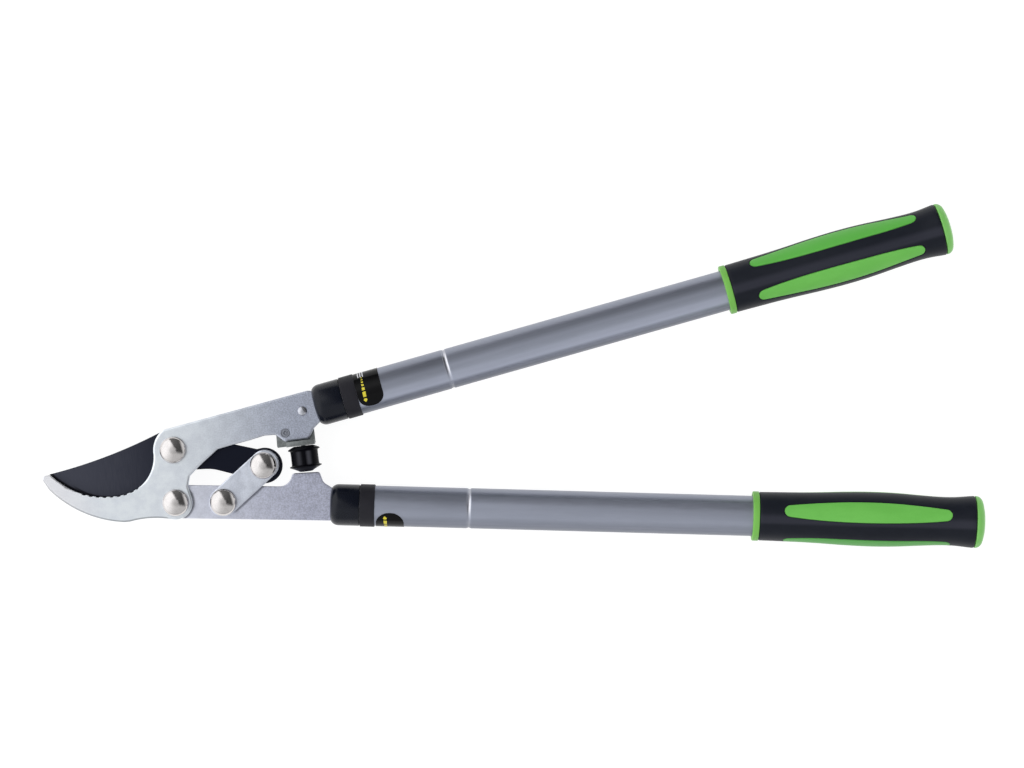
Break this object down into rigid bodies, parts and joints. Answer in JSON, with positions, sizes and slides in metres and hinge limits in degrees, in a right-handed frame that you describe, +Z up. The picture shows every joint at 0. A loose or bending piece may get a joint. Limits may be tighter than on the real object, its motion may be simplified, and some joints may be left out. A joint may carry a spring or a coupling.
{
  "type": "telescopic lopper",
  "caption": "Compound-action bypass lopper: hooked jaw, linked cutting blade, rubber bumper and twist-lock telescopic handles with windowed soft grips.",
  "frame": {"origin": "middle of the footprint, on the surface that the closed tool lies on", "axes": "+X along the line that halves the angle between the handles, from the jaw to the grips; +Y from the lower handle to the upper one; +Z up along the pivot bolts, towards their domed heads"},
  "size_m": [0.6711, 0.2495, 0.0394],
  "materials": {
    "zinc_plate": "satin zinc plating on stamped steel sheet",
    "coated_blade": "matt near-black non-stick coating on steel",
    "polished_nickel": "polished nickel plating",
    "plain_steel": "plain bright steel",
    "bumper_rubber": "smooth black rubber",
    "black_plastic": "satin black moulded plastic",
    "natural_nylon": "natural nylon, hidden inside",
    "satin_aluminium": "satin silver-grey aluminium",
    "label_film": "black label film with plain yellow arrows",
    "green_plastic": "satin bright green plastic",
    "grip_rubber": "matt black soft-touch rubber"
  },
  "bodies": {
    "head": {"hook_arm": "zinc_plate", "blade_pivot_bolt": "polished_nickel", "blade_pivot_washer": "plain_steel", "blade_pivot_nut": "plain_steel", "arm_pivot_bolt": "polished_nickel", "arm_pivot_washer": "plain_steel", "arm_pivot_nut": "plain_steel", "bumper_bracket": "zinc_plate", "bracket_domed_rivet": "zinc_plate", "bracket_flush_rivet": "zinc_plate", "rubber_bumper": "bumper_rubber", "bumper_stud": "plain_steel", "upper_front_collar": "black_plastic", "upper_tang_insert": "natural_nylon", "upper_tang_pin": "plain_steel", "upper_inner_tube": "satin_aluminium", "upper_lock_plug": "natural_nylon", "upper_cam_screw": "plain_steel"},
    "blade": {"cutting_blade": "coated_blade", "blade_link_bolt": "polished_nickel", "blade_link_washer": "plain_steel", "blade_link_nut": "plain_steel"},
    "lower_arm": {"lower_arm": "zinc_plate", "arm_link_bolt": "polished_nickel", "arm_link_washer": "plain_steel", "arm_link_nut": "plain_steel", "lower_front_collar": "black_plastic", "lower_tang_insert": "natural_nylon", "lower_tang_pin": "plain_steel", "lower_inner_tube": "satin_aluminium", "lower_lock_plug": "natural_nylon", "lower_cam_screw": "plain_steel"},
    "links": {"front_link": "zinc_plate", "rear_link": "zinc_plate"},
    "upper_cam": {"upper_lock_cam": "natural_nylon"},
    "upper_tube": {"upper_outer_tube": "satin_aluminium", "upper_tube_collar": "black_plastic", "upper_twist_label": "label_film", "upper_grip_core": "green_plastic", "upper_grip_sleeve": "grip_rubber", "upper_end_cap": "green_plastic"},
    "lower_cam": {"lower_lock_cam": "natural_nylon"},
    "lower_tube": {"lower_outer_tube": "satin_aluminium", "lower_tube_collar": "black_plastic", "lower_twist_label": "label_film", "lower_grip_core": "green_plastic", "lower_grip_sleeve": "grip_rubber", "lower_end_cap": "green_plastic"}
  },
  "joints": [
    {"name": "arm_hinge", "type": "hinge", "parent": "head", "child": "lower_arm", "pos_m": [-0.2428, -0.0208, 0.0197], "axis": [0, 0, -1], "range_deg": [0, 65]},
    {"name": "blade_hinge", "type": "hinge", "parent": "head", "child": "blade", "pos_m": [-0.2399, 0.0169, 0.0197], "axis": [0, 0, -1], "range_deg": [0, 34]},
    {"name": "link_hinge", "type": "hinge", "parent": "lower_arm", "child": "links", "pos_m": [-0.2088, -0.0247, 0.0197], "axis": [0, 0, 1], "range_deg": [0, 63]},
    {"name": "upper_twist", "type": "hinge", "parent": "head", "child": "upper_cam", "pos_m": [-0.1349, 0.0353, 0.0197], "axis": [-0.9885, -0.1511, 0], "range_deg": [0, 90]},
    {"name": "upper_slide", "type": "slide", "parent": "upper_cam", "child": "upper_tube", "axis": [0.9885, 0.1511, 0], "range_m": [0, 0.32]},
    {"name": "lower_twist", "type": "hinge", "parent": "lower_arm", "child": "lower_cam", "pos_m": [-0.1325, -0.036, 0.0197], "axis": [-0.9885, 0.1511, 0], "range_deg": [0, 90]},
    {"name": "lower_slide", "type": "slide", "parent": "lower_cam", "child": "lower_tube", "axis": [0.9885, -0.1511, 0], "range_m": [0, 0.32]}
  ],
  "couplings": [
    {"joint": "blade_hinge", "follows": "arm_hinge", "ratio": 0.5173},
    {"joint": "link_hinge", "follows": "arm_hinge", "ratio": 0.9567}
  ]
}
